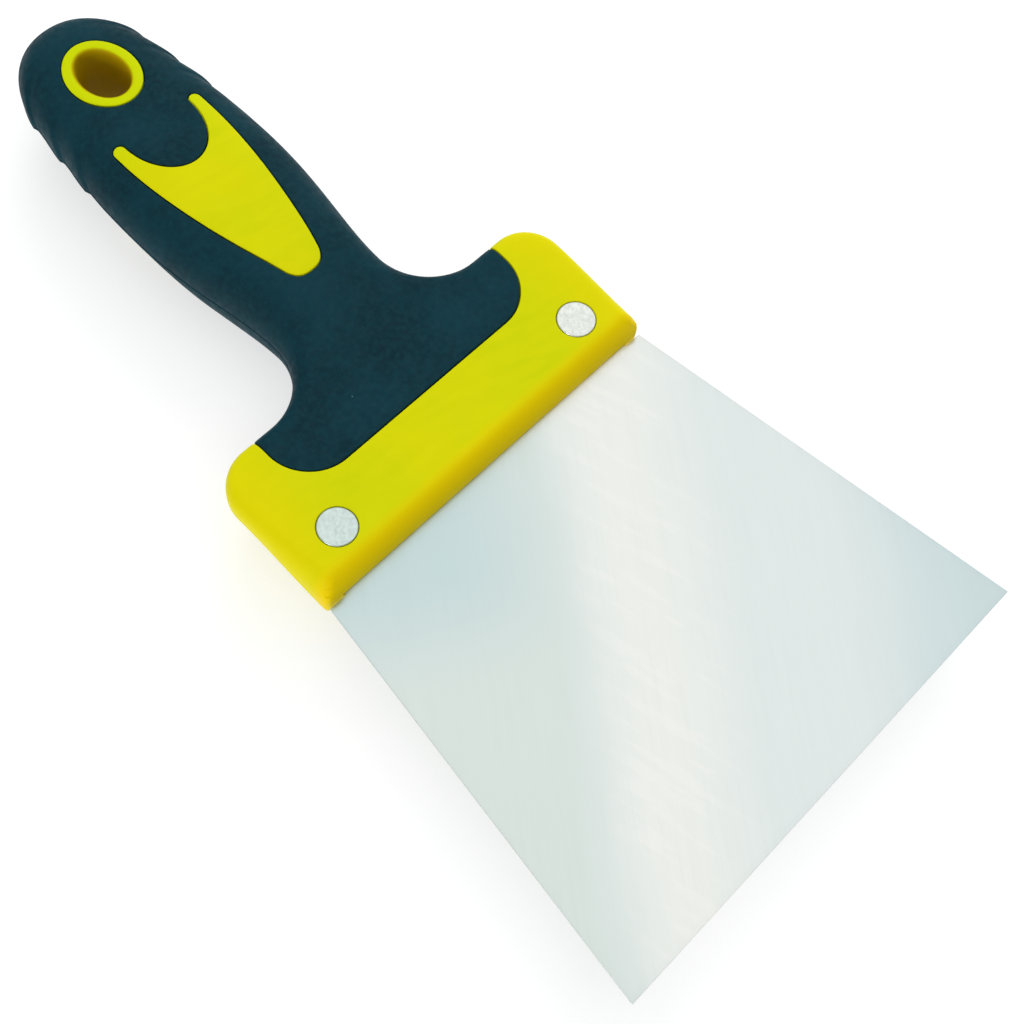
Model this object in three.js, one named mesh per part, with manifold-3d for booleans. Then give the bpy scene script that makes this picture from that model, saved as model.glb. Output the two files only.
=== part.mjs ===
// Flexible putty knife with a 100 mm blade and a two-shot moulded handle.
//
// The tool lies flat, handle towards -Y and working edge towards +Y, with X across it and +Z up.
// Everything is drawn about the middle of the head's front face, in the plane of the blade, and
// the whole group is then lifted so that the frame's origin is the bottom centre of the tool.
// The handle's broad faces are the same above and below the blade, but its widest line, where the
// two halves of the mould meet, lies a little higher except at the head's front. Lengths are in
// millimetres.

import * as THREE from "three";
import { mergeVertices } from "three/addons/utils/BufferGeometryUtils.js";
import Module from "manifold-3d";

const wasm = await Module();
wasm.setup();

// Driving dimensions
const FIT_GAP = 0.3; // between pieces that touch

const BLADE = {
  edgeWidth: 100,
  headWidth: 78.4,
  freeLength: 81,
  thickness: 0.5,
  tangWidth: 71,
  tangDepth: 14,
  tangCorner: 4,
};

const HEAD = {
  frontWidth: 79,
  width: 79.5,
  depth: 30.1,
  thickness: 13,
  edgeReach: 3.6, // how far in from the rim its rounding reaches
  frontCorner: 1.2, // corner radii seen from above
  ear: 8,
};

const NECK = { width: 26, y: -42.5, fillet: 12, edgeReach: 8.5 };

const GRIP = {
  end: -121.5,
  width: 33,
  widestY: -76,
  thickness: 22,
  endThickness: 20,
  edgeReach: 12,
  shoulderWidth: 28.3, // where the rounded end begins
  shoulderY: -106,
  partingRise: 2.2, // of the widest line above the blade's plane
  keel: 2.5, // power of the lower half's profile, which leaves the widest line at a slant
};

const WALL = 2.5; // soft rubber over the core
const APRON = { width: 58, front: -16.4, corner: 9.3 }; // rubber on the head, seen from above

const EYELET = { y: -103, width: 13.8, length: 16.6 };
const HANG_HOLE = { width: 9.2, length: 12.2 };

// The bare panel on each broad face of the grip: a shield with a round notch in its upper edge,
// which leaves a slim prong on each side.
const PANEL = {
  tipY: -46.5,
  tipRound: 3.3,
  width: 20.5,
  widestY: -85,
  prongEndY: -88.6,
  prongWidth: 2.6,
  notchY: -76.7,
};

const RIVET = {
  spacing: 59.4,
  y: -8,
  headRadius: 3.65,
  headThickness: 1.1,
  proud: 0.1,
  postRadius: 1.3,
  sleeveRadius: 2.4,
  sleeveLength: 8,
};

// Faceting
const ARC_STEPS = 7;
const BEZIER_STEPS = 9;
const ROUND_STEPS = 5; // facets from the rim up to the broad face
const CIRCLE_STEPS = 32;
const OVERSIZE = 30; // prisms that only cut reach this far above and below

// Manifold solids

// The closed surface of a geometry as a solid, with its shared vertices welded.
function solidOf(geometry) {
  const bare = new THREE.BufferGeometry().setAttribute("position", geometry.getAttribute("position"));
  bare.setIndex(geometry.getIndex());
  const welded = mergeVertices(bare, 1e-4);
  const corners = welded.getIndex().array;
  const triVerts = [];
  for (let i = 0; i < corners.length; i += 3) {
    const [a, b, c] = corners.slice(i, i + 3);
    if (a !== b && b !== c && c !== a) triVerts.push(a, b, c);
  }
  const vertProperties = new Float32Array(welded.getAttribute("position").array);
  return new wasm.Manifold(
    new wasm.Mesh({ numProp: 3, vertProperties, triVerts: new Uint32Array(triVerts) }),
  );
}

// A named mesh of a solid, shaded flat.
function meshOf(name, solid, material) {
  const { vertProperties, triVerts } = solid.getMesh();
  const geometry = new THREE.BufferGeometry();
  geometry.setAttribute("position", new THREE.BufferAttribute(new Float32Array(vertProperties), 3));
  geometry.setIndex(new THREE.BufferAttribute(new Uint32Array(triVerts), 1));
  geometry.computeVertexNormals();
  const mesh = new THREE.Mesh(geometry, material);
  mesh.name = name;
  return mesh;
}

// A flat outline extruded in Z, between two heights.
function prism(shape, bottom = -OVERSIZE, top = OVERSIZE) {
  const options = { depth: top - bottom, bevelEnabled: false, curveSegments: ARC_STEPS };
  return solidOf(new THREE.ExtrudeGeometry(shape, options).translate(0, 0, bottom));
}

function disc(x, y, radius, bottom, top) {
  const height = top - bottom;
  const cylinder = new THREE.CylinderGeometry(radius, radius, height, CIRCLE_STEPS);
  return solidOf(cylinder.rotateX(Math.PI / 2).translate(x, y, bottom + height / 2));
}

// Handle envelope

// The right half of the handle's outline seen from above, from the hanging end to the front.
function handleOutline() {
  const neck = NECK.width / 2;
  const rear = -HEAD.depth;
  const side = HEAD.width / 2;
  const front = HEAD.frontWidth / 2;
  const shoulder = GRIP.shoulderWidth / 2;
  const widest = GRIP.width / 2;
  const outline = new THREE.Path().moveTo(0, GRIP.end);
  outline.bezierCurveTo(0.6 * shoulder, GRIP.end, 0.92 * shoulder, GRIP.end + 7, shoulder, GRIP.shoulderY);
  outline.bezierCurveTo(1.06 * shoulder, -99.5, widest, -88, widest, GRIP.widestY);
  outline.bezierCurveTo(widest, -60, neck, -52, neck, NECK.y);
  outline.absarc(neck + NECK.fillet, rear - NECK.fillet, NECK.fillet, Math.PI, Math.PI / 2, true);
  outline.lineTo(side - HEAD.ear, rear);
  outline.absarc(side - HEAD.ear, rear + HEAD.ear, HEAD.ear, -Math.PI / 2, 0);
  outline.lineTo(front, -HEAD.frontCorner);
  outline.absarc(front - HEAD.frontCorner, -HEAD.frontCorner, HEAD.frontCorner, 0, Math.PI / 2);
  outline.lineTo(0, 0);
  return outline;
}

// Half the handle's thickness at a place along it.
function halfThickness(y) {
  const { smoothstep } = THREE.MathUtils;
  const neckRise = 1 - smoothstep(y, -54, -24);
  const endFall = 1 - smoothstep(y, GRIP.end, -88);
  const head = HEAD.thickness / 2;
  return head + (GRIP.thickness / 2 - head) * neckRise - ((GRIP.thickness - GRIP.endThickness) / 2) * endFall;
}

// How far in over the broad face the rounding of the rim reaches, at a place along the outline. It
// is a quarter ellipse that drops from the broad face to the widest line.
function edgeReach(y) {
  const { smoothstep, lerp } = THREE.MathUtils;
  const neckward = smoothstep(y, -64, NECK.y);
  const headward = smoothstep(y, NECK.y, -HEAD.depth);
  return lerp(lerp(GRIP.edgeReach, NECK.edgeReach, neckward), HEAD.edgeReach, headward);
}

// How far the widest line lies above the blade's plane.
function partingRise(y) {
  return GRIP.partingRise * (1 - THREE.MathUtils.smoothstep(y, -22, 0));
}

// How much of the slant the lower half has: all of it on the grip and the ears, none at the neck
// and at the front face.
function slant(y) {
  const { smoothstep } = THREE.MathUtils;
  return 1 - smoothstep(y, -80, -58) + smoothstep(y, -36, -28) * (1 - smoothstep(y, -22, 0));
}

// A height in a section of the given half thickness, with the section's middle raised and its broad
// faces left where they are.
function raised(height, y, half) {
  return height + partingRise(y) * (1 - (height / half) ** 2);
}

// Points of the outline with the outward normal at each. A path joins an arc to the curve before
// it by a line of no length, which has no direction and is passed over.
function outlineStations() {
  const stations = [];
  for (const curve of handleOutline().curves.filter((c) => c.getLength() > 1e-6)) {
    const steps = { LineCurve: 1, EllipseCurve: ARC_STEPS, CubicBezierCurve: BEZIER_STEPS }[curve.type];
    const first = stations.length ? 1 : 0;
    for (let i = first; i <= steps; i++) {
      const point = curve.getPoint(i / steps);
      const tangent = curve.getTangent(i / steps);
      stations.push({ point, normal: new THREE.Vector2(tangent.y, -tangent.x) });
    }
  }
  return stations;
}

// One closed rib of the handle: over the top from the right rim to the left, and back below.
function handleRib({ point, normal }, inset) {
  const reach = edgeReach(point.y);
  const upper = [];
  const lower = [];
  for (let i = 0; i <= ROUND_STEPS; i++) {
    const angle = (i / ROUND_STEPS) * (Math.PI / 2);
    const inwards = inset + (reach - inset) * (1 - Math.cos(angle));
    const x = Math.max(point.x - normal.x * inwards, 0);
    const y = point.y - normal.y * inwards;
    const half = halfThickness(y) - inset;
    const keeled = 1 - Math.cos(angle) ** GRIP.keel;
    const climb = THREE.MathUtils.lerp(Math.sin(angle), keeled, slant(y));
    upper.push(new THREE.Vector3(x, y, raised(half * Math.sin(angle), y, half)));
    lower.push(new THREE.Vector3(x, y, raised(-half * climb, y, half)));
  }
  const leftOf = (points) => points.map((p) => new THREE.Vector3(-p.x, p.y, p.z));
  return [...upper, ...leftOf(upper).reverse(), ...leftOf(lower), ...lower.reverse()];
}

// The solid inside the handle's outer surface, or inside one that lies `inset` below it.
function handleSolid(inset = 0) {
  const ribs = outlineStations().map((station) => handleRib(station, inset));
  const around = ribs[0].length;
  const index = [];
  for (let i = 0; i + 1 < ribs.length; i++) {
    for (let j = 0; j < around; j++) {
      const next = (j + 1) % around;
      const [a, b] = [i * around + j, i * around + next];
      const [c, d] = [a + around, b + around];
      index.push(a, c, b, b, c, d);
    }
  }
  const skin = new THREE.BufferGeometry().setFromPoints(ribs.flat());
  return solidOf(skin.setIndex(index));
}

// Plan shapes; `grow` widens each one all round

function ellipse(y, width, length, grow = 0) {
  const shape = new THREE.Shape();
  return shape.absellipse(0, y, width / 2 + grow, length / 2 + grow, 0, 2 * Math.PI);
}

function apronShape(grow = 0) {
  const side = APRON.width / 2 + grow;
  const front = APRON.front + grow;
  const corner = APRON.corner + grow;
  const back = GRIP.end - 5;
  const shape = new THREE.Shape().moveTo(-side, back);
  shape.lineTo(side, back);
  shape.lineTo(side, front - corner);
  shape.absarc(side - corner, front - corner, corner, 0, Math.PI / 2);
  shape.lineTo(corner - side, front);
  shape.absarc(corner - side, front - corner, corner, Math.PI / 2, Math.PI);
  return shape;
}

function panelShape(grow = 0) {
  const tip = PANEL.tipY + grow;
  const tipRound = PANEL.tipRound + grow;
  const side = PANEL.width / 2 + grow;
  const prong = PANEL.prongWidth / 2 + grow;
  const prongMiddle = PANEL.width / 2 - PANEL.prongWidth / 2;
  const prongY = PANEL.prongEndY + PANEL.prongWidth / 2;
  const notchWidth = prongMiddle - prong;
  const notchDepth = PANEL.notchY - grow - prongY;
  const leave = tip - 2.2;
  const shape = new THREE.Shape().moveTo(0, tip);
  shape.bezierCurveTo(0.7 * tipRound, tip, tipRound, tip - 0.5, 1.3 * tipRound, leave);
  shape.bezierCurveTo(0.62 * side, leave - 8, side, -72, side, PANEL.widestY);
  shape.lineTo(side, prongY);
  shape.absarc(prongMiddle, prongY, prong, 0, Math.PI, true);
  shape.absellipse(0, prongY, notchWidth, notchDepth, 0, Math.PI, false);
  shape.absarc(-prongMiddle, prongY, prong, 0, Math.PI, true);
  shape.lineTo(-side, PANEL.widestY);
  shape.bezierCurveTo(-side, -72, -0.62 * side, leave - 8, -1.3 * tipRound, leave);
  shape.bezierCurveTo(-tipRound, tip - 0.5, -0.7 * tipRound, tip, 0, tip);
  return shape;
}

function bladeShape() {
  const edge = BLADE.edgeWidth / 2;
  const head = BLADE.headWidth / 2;
  const tang = BLADE.tangWidth / 2;
  const corner = BLADE.tangCorner;
  const shape = new THREE.Shape().moveTo(-edge, BLADE.freeLength);
  shape.lineTo(-head, FIT_GAP);
  shape.lineTo(-tang, FIT_GAP);
  shape.lineTo(-tang, corner - BLADE.tangDepth);
  shape.absarc(corner - tang, corner - BLADE.tangDepth, corner, Math.PI, 1.5 * Math.PI);
  shape.lineTo(tang - corner, -BLADE.tangDepth);
  shape.absarc(tang - corner, corner - BLADE.tangDepth, corner, 1.5 * Math.PI, 2 * Math.PI);
  shape.lineTo(tang, FIT_GAP);
  shape.lineTo(head, FIT_GAP);
  shape.lineTo(edge, BLADE.freeLength);
  return shape;
}

// Pieces

const SIDES = { left: -RIVET.spacing / 2, right: RIVET.spacing / 2 };
const HEAD_FACE = HEAD.thickness / 2;

// The hole that both rivets need through a moulding or the blade.
function rivetHole(x) {
  return disc(x, RIVET.y, RIVET.sleeveRadius + FIT_GAP, -OVERSIZE, OVERSIZE);
}

function blade() {
  const half = BLADE.thickness / 2;
  let sheet = prism(bladeShape(), -half, half);
  for (const x of Object.values(SIDES)) sheet = sheet.subtract(rivetHole(x));
  return sheet;
}

// The slot in the head that the tang slides into, open at the front face.
function tangSlot() {
  const width = BLADE.tangWidth + 2 * FIT_GAP;
  const depth = BLADE.tangDepth + FIT_GAP;
  const slot = new THREE.BoxGeometry(width, depth + 1, BLADE.thickness + 2 * FIT_GAP);
  return solidOf(slot.translate(0, (1 - depth) / 2, 0));
}

// The round recess that a rivet's head sits in, on one broad face.
function rivetSeat(x, side) {
  const floor = HEAD_FACE + RIVET.proud - RIVET.headThickness - FIT_GAP;
  const [bottom, top] = side > 0 ? [floor, OVERSIZE] : [-OVERSIZE, -floor];
  return disc(x, RIVET.y, RIVET.headRadius + FIT_GAP, bottom, top);
}

// The hard first shot: the head, the eyelet, the two bare panels, and the bone that joins them
// under the rubber.
function handleCore() {
  const envelope = handleSolid();
  let core = envelope.subtract(prism(apronShape(FIT_GAP)));
  core = core.add(handleSolid(WALL));
  core = core.add(envelope.intersect(prism(panelShape())));
  core = core.add(envelope.intersect(prism(ellipse(EYELET.y, EYELET.width, EYELET.length))));
  core = core.subtract(prism(ellipse(EYELET.y, HANG_HOLE.width, HANG_HOLE.length)));
  core = core.subtract(tangSlot());
  for (const x of Object.values(SIDES)) {
    core = core.subtract(rivetHole(x)).subtract(rivetSeat(x, 1)).subtract(rivetSeat(x, -1));
  }
  return core;
}

// The soft second shot, moulded over the core and round the panels and the eyelet.
function softGrip() {
  const openings = [panelShape(FIT_GAP), ellipse(EYELET.y, EYELET.width, EYELET.length, FIT_GAP)];
  let grip = handleSolid().intersect(prism(apronShape()));
  grip = grip.subtract(handleSolid(WALL - FIT_GAP));
  for (const opening of openings) grip = grip.subtract(prism(opening));
  return grip;
}

// Upper half of a two-piece rivet: a flat head on a solid post.
function rivetPost(x) {
  const top = HEAD_FACE + RIVET.proud;
  const underHead = top - RIVET.headThickness;
  const postEnd = underHead - RIVET.sleeveLength - 1;
  const head = disc(x, RIVET.y, RIVET.headRadius, underHead, top);
  return head.add(disc(x, RIVET.y, RIVET.postRadius, postEnd, underHead + 0.5));
}

// Lower half: a flat head on the tube that the post is pressed into.
function rivetSleeve(x) {
  const bottom = -HEAD_FACE - RIVET.proud;
  const overHead = bottom + RIVET.headThickness;
  const head = disc(x, RIVET.y, RIVET.headRadius, bottom, overHead);
  const tube = disc(x, RIVET.y, RIVET.sleeveRadius, overHead - 0.5, overHead + RIVET.sleeveLength);
  return head.add(tube).subtract(disc(x, RIVET.y, RIVET.postRadius + FIT_GAP, overHead, OVERSIZE));
}

// Materials

const steel = new THREE.MeshStandardMaterial({ color: 0xd9e0df, roughness: 0.28, metalness: 1 });
const rivetSteel = new THREE.MeshStandardMaterial({ color: 0xd5d6d4, roughness: 0.4, metalness: 1 });
const yellowPlastic = new THREE.MeshStandardMaterial({ color: 0xd8d60a, roughness: 0.42, metalness: 0 });
const tealRubber = new THREE.MeshStandardMaterial({ color: 0x123a48, roughness: 0.72, metalness: 0 });

// Assembly

const tool = new THREE.Group();
tool.position.set(0, -(BLADE.freeLength + GRIP.end) / 2, GRIP.thickness / 2);
tool.add(meshOf("blade", blade(), steel));
tool.add(meshOf("handle_core", handleCore(), yellowPlastic));
tool.add(meshOf("soft_grip", softGrip(), tealRubber));
for (const [side, x] of Object.entries(SIDES)) {
  tool.add(meshOf(`rivet_post_${side}`, rivetPost(x), rivetSteel));
  tool.add(meshOf(`rivet_sleeve_${side}`, rivetSleeve(x), rivetSteel));
}

const putty_knife = new THREE.Group();
putty_knife.add(tool);

export default putty_knife;
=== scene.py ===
"""Flexible putty knife: the visual model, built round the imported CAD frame.

The shapes are drawn in the tool's own millimetres, as the CAD source draws them: X across the tool,
Y along it with 0 at the head's front face, Z up from the blade's middle plane. `mesh_object` puts
them in the frame's metres. The mouldings' upper half is made and mirrored, and `moulded` then gives
the grip its section, whose widest line lies above the middle and whose lower half is leaner.
"""

import math

import bmesh
import bpy
import numpy as np
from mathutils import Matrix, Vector, kdtree
from mathutils.geometry import delaunay_2d_cdt


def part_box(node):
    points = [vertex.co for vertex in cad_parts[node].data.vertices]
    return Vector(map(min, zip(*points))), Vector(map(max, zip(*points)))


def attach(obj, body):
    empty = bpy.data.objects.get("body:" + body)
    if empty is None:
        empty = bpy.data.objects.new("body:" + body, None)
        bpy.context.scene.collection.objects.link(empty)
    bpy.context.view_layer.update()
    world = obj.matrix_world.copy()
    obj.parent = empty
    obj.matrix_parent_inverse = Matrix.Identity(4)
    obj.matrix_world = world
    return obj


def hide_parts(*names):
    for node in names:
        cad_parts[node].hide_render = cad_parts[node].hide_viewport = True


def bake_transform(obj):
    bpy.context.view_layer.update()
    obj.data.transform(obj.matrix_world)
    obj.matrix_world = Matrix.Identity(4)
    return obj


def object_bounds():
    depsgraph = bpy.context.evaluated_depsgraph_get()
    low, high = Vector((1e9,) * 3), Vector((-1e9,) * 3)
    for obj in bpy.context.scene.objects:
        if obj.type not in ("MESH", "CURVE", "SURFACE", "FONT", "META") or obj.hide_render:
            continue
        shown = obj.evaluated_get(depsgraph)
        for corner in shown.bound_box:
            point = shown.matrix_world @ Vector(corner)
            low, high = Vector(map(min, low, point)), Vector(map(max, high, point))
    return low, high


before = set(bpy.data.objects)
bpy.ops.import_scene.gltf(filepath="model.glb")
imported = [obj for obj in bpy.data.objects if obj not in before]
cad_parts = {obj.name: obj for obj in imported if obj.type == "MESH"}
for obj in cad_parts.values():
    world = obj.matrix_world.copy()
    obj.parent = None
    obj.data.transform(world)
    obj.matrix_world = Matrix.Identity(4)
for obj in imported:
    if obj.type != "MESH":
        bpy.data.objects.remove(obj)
cad_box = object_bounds()

MM = 0.001
FREE_LENGTH = 81.0  # of the blade, from the head's front face to the working edge
BLADE_LOW, BLADE_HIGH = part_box("blade")
TOOL_ORIGIN = np.array([0, BLADE_HIGH.y - FREE_LENGTH * MM, (BLADE_LOW.z + BLADE_HIGH.z) / 2])

# Sizes, as in the CAD source, but for a panel that is slightly longer and slimmer
HEAD = {"front_width": 79.0, "width": 79.5, "depth": 30.1, "half": 6.5, "round": 3.6, "corner": 1.2,
        "ear": 8.0}
NECK = {"width": 26.0, "y": -42.5, "fillet": 12.0, "round": 8.5}
GRIP = {"end": -121.5, "width": 33.0, "widest_y": -76.0, "half": 11.0, "end_half": 10.0, "reach": 12.0,
        "shoulder_width": 28.3, "shoulder_y": -106.0, "parting_rise": 2.2, "keel": 2.5}
APRON = {"width": 58.0, "front": -16.4, "corner": 9.3}
EYELET = {"y": -103.0, "width": 13.8, "length": 16.6}
HANG_HOLE = {"width": 9.2, "length": 12.2}
PANEL = {"tip_y": -46.2, "tip_round": 2.9, "width": 20.5, "widest_y": -85.0, "prong_end_y": -88.6,
         "prong_width": 2.3, "notch_y": -76.7}
RIVET = {"x": 29.7, "y": -8.0, "head_radius": 3.65, "head_thickness": 1.1, "proud": 0.1,
         "post_radius": 1.3, "post_beyond": 1.0, "sleeve_radius": 2.4, "sleeve_length": 8.0}
TANG = {"width": 71.0, "depth": 14.0, "corner": 4.0}
BLADE = {"edge_width": 100.0, "head_width": 78.4, "half": 0.25}
FIT_GAP = 0.3  # between pieces that touch
SLOT_X = TANG["width"] / 2 + FIT_GAP

# Stretches of Y over which the handle's section changes, from the first value to the second
THINS_TO_HEAD = (-54, -24)
THICKENS_FROM_END = (GRIP["end"], -88)
ROUNDING_TO_NECK = (-64, NECK["y"])
ROUNDING_TO_HEAD = (NECK["y"], -HEAD["depth"])
RISE_ENDS = (-22, 0)  # where the widest line comes down to the blade's middle
SLANT_ENDS = (-80, -58)  # the lower half's, which is upright at the neck
SLANT_RETURNS = (-36, -28)  # on the head's ears
BEHIND_SLOT = (-14.5, -19)
BESIDE_SLOT = (SLOT_X, SLOT_X + 1.6)  # of X, on both sides

# Fine shape
SEAM_MIDDLE = 0.15  # grown from the plan shapes to the middle of the groove between the two plastics
SEAM_HALF = 0.12
LIP = 0.25  # radius that each plastic is rounded with where it meets the other
HOLE_LIP = 1.1
SEAT_LIP = 0.15
SEAT_GAP = 0.1
WALL = 2.5  # of the rubber
BAND_HALF = 0.6  # least height of the upright band at the rim, above the parting line
SLOT_HALF = 0.35
SEAM_X = APRON["width"] / 2 + SEAM_MIDDLE
BLADE_ROUND = 0.06
RIVET_RIM = 0.3
RIVET_DISH = ((0, 0.04), (0.5, 0.035), (0.8, 0.01))  # (share of the head's radius, depth)
RIVET_CHAMFER = 0.3
HOLE_DRAFT = 0.06
HOLE_ROWS = (0.15, 0.4, 0.7, 1.0)  # shares of the way down
PARTING = {"start": 0.45, "edge": 0.26, "depth": 0.34}
RIDGE = {"ys": (-107.5, -98.6, -90.3), "slant": 0.9, "rise": 5.5, "fall": 0.9, "height": 0.32,
         "trough": 0.35, "full_depth": 2.5, "depth": 8.0}

# Meshes
STEP = 0.5  # mesh size of the mouldings
ARC_STEP = 0.12  # longest chord of an arc, in radii
SLOT_STEP = 4.0
BLADE_STEP = 2.0
TURNED_STEPS = 72
RIM_ROWS = np.arange(1, 11) * 0.34  # rows of the mesh that follow the rim, unrolled
RIM_ROW_SLACK = 0.02  # how far such a row may be off its depth
RIM_CLEARANCE = 0.1  # of a seam's rows
ROW_CLEARANCE = 0.3  # of the lattice from the rows of a seam or the rim
MERGE = 1e-6  # points closer than this are one
ON_CURVE = 1e-4
NEIGHBOURS = 3  # stretches of a curve that are tried for the nearest place on it
SLIVER = 1e-5  # twice the area below which a triangle is dropped
WELD = 0.002
SHARP = math.radians(50)


def smoothstep(value, low, high):
    t = np.clip((value - low) / (high - low), 0, 1)
    return t * t * (3 - 2 * t)


def lerp(a, b, t):
    return a + (b - a) * t


# Plan curves: arrays of points, one row each


def line(start, end, step=STEP):
    start, end = np.array(start, float), np.array(end, float)
    count = max(1, round(np.linalg.norm(end - start) / step))
    return start + (end - start) * np.linspace(0, 1, count + 1)[:, None]


def bezier(p0, p1, p2, p3, step=STEP):
    """A curve from p0 to p3 that p1 and p2 draw out."""
    corners = np.array([p0, p1, p2, p3], float)
    length = np.linalg.norm(np.diff(corners, axis=0), axis=1).sum()
    t = np.linspace(0, 1, max(2, round(length / step)) + 1)[:, None]
    a, b, c, d = corners
    u = 1 - t
    return a * u**3 + 3 * b * t * u**2 + 3 * c * t**2 * u + d * t**3


def arc(x, y, radius_x, radius_y, start, end, step=STEP):
    """Part of an ellipse between two angles in degrees."""
    radius = max(radius_x, radius_y)
    count = max(3, round(math.radians(abs(end - start)) * radius / min(step, ARC_STEP * radius)))
    angle = np.radians(np.linspace(start, end, count + 1))
    return np.stack([x + radius_x * np.cos(angle), y + radius_y * np.sin(angle)], axis=1)


def chain(*parts):
    """Curves joined end to end, without the doubled points."""
    joined = [parts[0]]
    for part in parts[1:]:
        joined.append(part[1:])
    return np.concatenate(joined)


def mirror(curve):
    """The curve on the other side of the axis, run the other way."""
    return (curve * [-1, 1])[::-1]


def closed(curve):
    """A closed loop without its repeated last point."""
    return curve[:-1] if np.linalg.norm(curve[0] - curve[-1]) < MERGE else curve


def grip_outline(seam_x):
    """Right half of the outline, from the hanging end to where the rubber ends behind the head."""
    shoulder, widest, neck = GRIP["shoulder_width"] / 2, GRIP["width"] / 2, NECK["width"] / 2
    corner, bulge, waist = (shoulder, GRIP["shoulder_y"]), (widest, GRIP["widest_y"]), (neck, NECK["y"])
    end, rear, fillet = GRIP["end"], -HEAD["depth"], NECK["fillet"]
    return chain(
        bezier((0, end), (0.6 * shoulder, end), (0.92 * shoulder, end + 7), corner),
        bezier(corner, (1.06 * shoulder, -99.5), (widest, -88), bulge),
        bezier(bulge, (widest, -60), (neck, -52), waist),
        arc(neck + fillet, rear - fillet, fillet, fillet, 180, 90),
        line((neck + fillet, rear), (seam_x, rear)),
    )


def head_outline(seam_x):
    """Right half of the outline, from where the rubber ends to the middle of the front face."""
    side, front, rear = HEAD["width"] / 2, HEAD["front_width"] / 2, -HEAD["depth"]
    ear, corner = HEAD["ear"], HEAD["corner"]
    return chain(
        line((seam_x, rear), (side - ear, rear)),
        arc(side - ear, rear + ear, ear, ear, -90, 0),
        line((side, rear + ear), (front, -corner)),
        arc(front - corner, -corner, corner, corner, 0, 90),
        line((front - corner, 0), (SLOT_X, 0)),
        line((SLOT_X, 0), (0, 0)),
    )


def apron():
    """The rubber's front edge on the head, from right to left."""
    side, front, corner = APRON["width"] / 2, APRON["front"], APRON["corner"]
    right = chain(
        line((side, -HEAD["depth"]), (side, front - corner)),
        arc(side - corner, front - corner, corner, corner, 0, 90),
        line((side - corner, front), (0, front)),
    )
    return chain(right, mirror(right))


def panel():
    """The bare panel: a shield with a round notch in its upper edge, between two slim prongs."""
    tip, tip_round, widest_y = PANEL["tip_y"], PANEL["tip_round"], PANEL["widest_y"]
    side, prong = PANEL["width"] / 2, PANEL["prong_width"] / 2
    middle = side - prong
    prong_y = PANEL["prong_end_y"] + prong
    leave = np.array([1.3 * tip_round, tip - 2.2])
    right = chain(
        bezier((0, tip), (0.7 * tip_round, tip), (tip_round, tip - 0.5), leave, 0.4 * STEP),
        bezier(leave, (0.62 * side, leave[1] - 8), (side, -72), (side, widest_y)),
        line((side, widest_y), (side, prong_y)),
        arc(middle, prong_y, prong, prong, 0, -180),
        arc(0, prong_y, middle - prong, PANEL["notch_y"] - prong_y, 0, 90),
    )
    return closed(chain(right, mirror(right)))[::-1]


def oval(y, width, length):
    return closed(arc(0, y, width / 2, length / 2, 0, 360))


def circle(x, y, radius):
    return closed(arc(x, y, radius, radius, 0, 360))


def at_rivets(radius):
    return [circle(x, RIVET["y"], radius) for x in (-RIVET["x"], RIVET["x"])]


RIM = chain(grip_outline(SEAM_X), head_outline(SEAM_X))
RIM = closed(chain(RIM, mirror(RIM)))


class Curves:
    """Closed or open curves that points are measured from."""

    def __init__(self, *curves, loop=True):
        self.starts = np.concatenate([c if loop else c[:-1] for c in curves])
        self.ends = np.concatenate([np.roll(c, -1, axis=0) if loop else c[1:] for c in curves])
        middles = (self.starts + self.ends) / 2
        self.tree = kdtree.KDTree(len(middles))
        for i, (x, y) in enumerate(middles):
            self.tree.insert((x, y, 0), i)
        self.tree.balance()

    def nearest(self, points):
        """Distance to the curves, the nearest place on them, and the way out through it."""
        choice = np.array([[hit[1] for hit in self.tree.find_n((x, y, 0), NEIGHBOURS)] for x, y in points])
        start, along = self.starts[choice], (self.ends - self.starts)[choice]
        offset = points[:, None, :] - start
        share = np.clip((offset * along).sum(2) / (along**2).sum(2), 0, 1)
        places = start + along * share[..., None]
        distances = np.linalg.norm(points[:, None, :] - places, axis=2)
        best = distances.argmin(1)
        row = np.arange(len(points))
        place, distance = places[row, best], distances[row, best]
        direction = along[row, best]
        outward = np.stack([direction[:, 1], -direction[:, 0]], axis=1)
        away = distance > ON_CURVE
        outward[away] = (place - points)[away]
        outward /= np.linalg.norm(outward, axis=1)[:, None]
        return distance, place, outward


RIM_CURVE = Curves(RIM)

# Handle surface. A point is named by where it would lie in plan if the rounded rim were unrolled: the
# depth in from the rim is then even along the round.


def half_thickness(y):
    rise = 1 - smoothstep(y, *THINS_TO_HEAD)
    fall = 1 - smoothstep(y, *THICKENS_FROM_END)
    return HEAD["half"] + (GRIP["half"] - HEAD["half"]) * rise - (GRIP["half"] - GRIP["end_half"]) * fall


def rim_reach(y):
    """How far in over the broad face the rounding goes at a place on the rim."""
    neckward = smoothstep(y, *ROUNDING_TO_NECK)
    headward = smoothstep(y, *ROUNDING_TO_HEAD)
    return lerp(lerp(GRIP["reach"], NECK["round"], neckward), HEAD["round"], headward)


def unroll(plan):
    """Where points in plan lie once the rounded rim is unrolled."""
    distance, place, outward = RIM_CURVE.nearest(plan)
    reach = rim_reach(place[:, 1])
    angle = np.arccos(np.clip(1 - distance / reach, 0, 1))
    depth = np.where(distance < reach, reach * angle / (math.pi / 2), distance)
    return place - outward * depth[:, None]


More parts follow.
